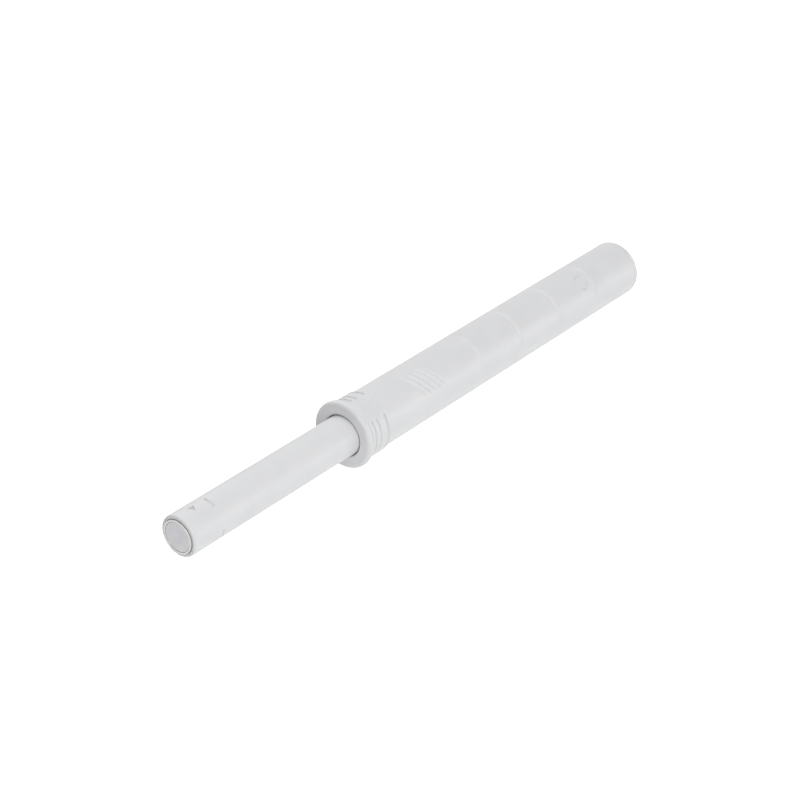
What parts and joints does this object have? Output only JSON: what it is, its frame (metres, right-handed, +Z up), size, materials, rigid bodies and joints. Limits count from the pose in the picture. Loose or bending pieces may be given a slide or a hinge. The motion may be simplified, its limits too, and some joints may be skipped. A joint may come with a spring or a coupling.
{
  "type": "push to open catch",
  "caption": "Slim round drill-in push latch: ribbed flange, long barrel, and a sprung plunger with a magnet in its tip.",
  "frame": {"origin": "centre of the flange's rear face, where the catch seats on the panel's edge", "axes": "+Y along the barrel to its closed rear end, +Z up with the barrel level and +X to the right seen from the front. The marked side, with the slanted ribs, barbs and a snap stud, faces 38 degrees from +Z towards +X"},
  "size_m": [0.0114, 0.1128, 0.0114],
  "materials": {
    "housing": "satin pale grey moulded plastic",
    "rear_plug": "satin pale grey moulded plastic",
    "guide_rod": "bright drawn steel",
    "main_spring": "zinc-plated spring wire",
    "carriage": "natural acetal",
    "stop_washer": "soft elastomer",
    "grip_ring": "soft elastomer",
    "plunger_tube": "satin pale grey moulded plastic",
    "magnet_cup": "nickel-plated steel",
    "magnet": "nickel-plated magnet",
    "follower_ring": "natural acetal",
    "cam_pins": "hardened steel"
  },
  "bodies": {
    "housing": {"housing": "housing", "rear_plug": "rear_plug", "guide_rod": "guide_rod", "main_spring": "main_spring"},
    "carriage": {"carriage": "carriage", "stop_washer": "stop_washer"},
    "grip_ring": {"grip_ring": "grip_ring"},
    "plunger": {"plunger_tube": "plunger_tube", "magnet_cup": "magnet_cup", "magnet": "magnet"},
    "follower_ring": {"follower_ring": "follower_ring", "cam_pin_1": "cam_pins", "cam_pin_2": "cam_pins"}
  },
  "joints": [
    {"name": "plunger_push", "type": "slide", "parent": "housing", "child": "carriage", "axis": [0, 1, 0], "range_m": [0, 0.036], "stiffness_N_per_m": 300, "springref_m": -0.01, "deforming": ["main_spring"]},
    {"name": "gap_turn", "type": "hinge", "parent": "carriage", "child": "grip_ring", "pos_m": [0, 0.0035, 0], "axis": [0, -1, 0], "range_deg": [-180, 720]},
    {"name": "gap_screw", "type": "slide", "parent": "grip_ring", "child": "plunger", "axis": [0, -1, 0], "range_m": [-0.001, 0.004]},
    {"name": "follower_turn", "type": "hinge", "parent": "housing", "child": "follower_ring", "pos_m": [0, 0.0517, 0], "axis": [0, 1, 0], "range_deg": [0, 56]}
  ],
  "couplings": [
    {"joint": "gap_turn", "follows": "gap_screw", "rad_per_m": 3141.6}
  ]
}
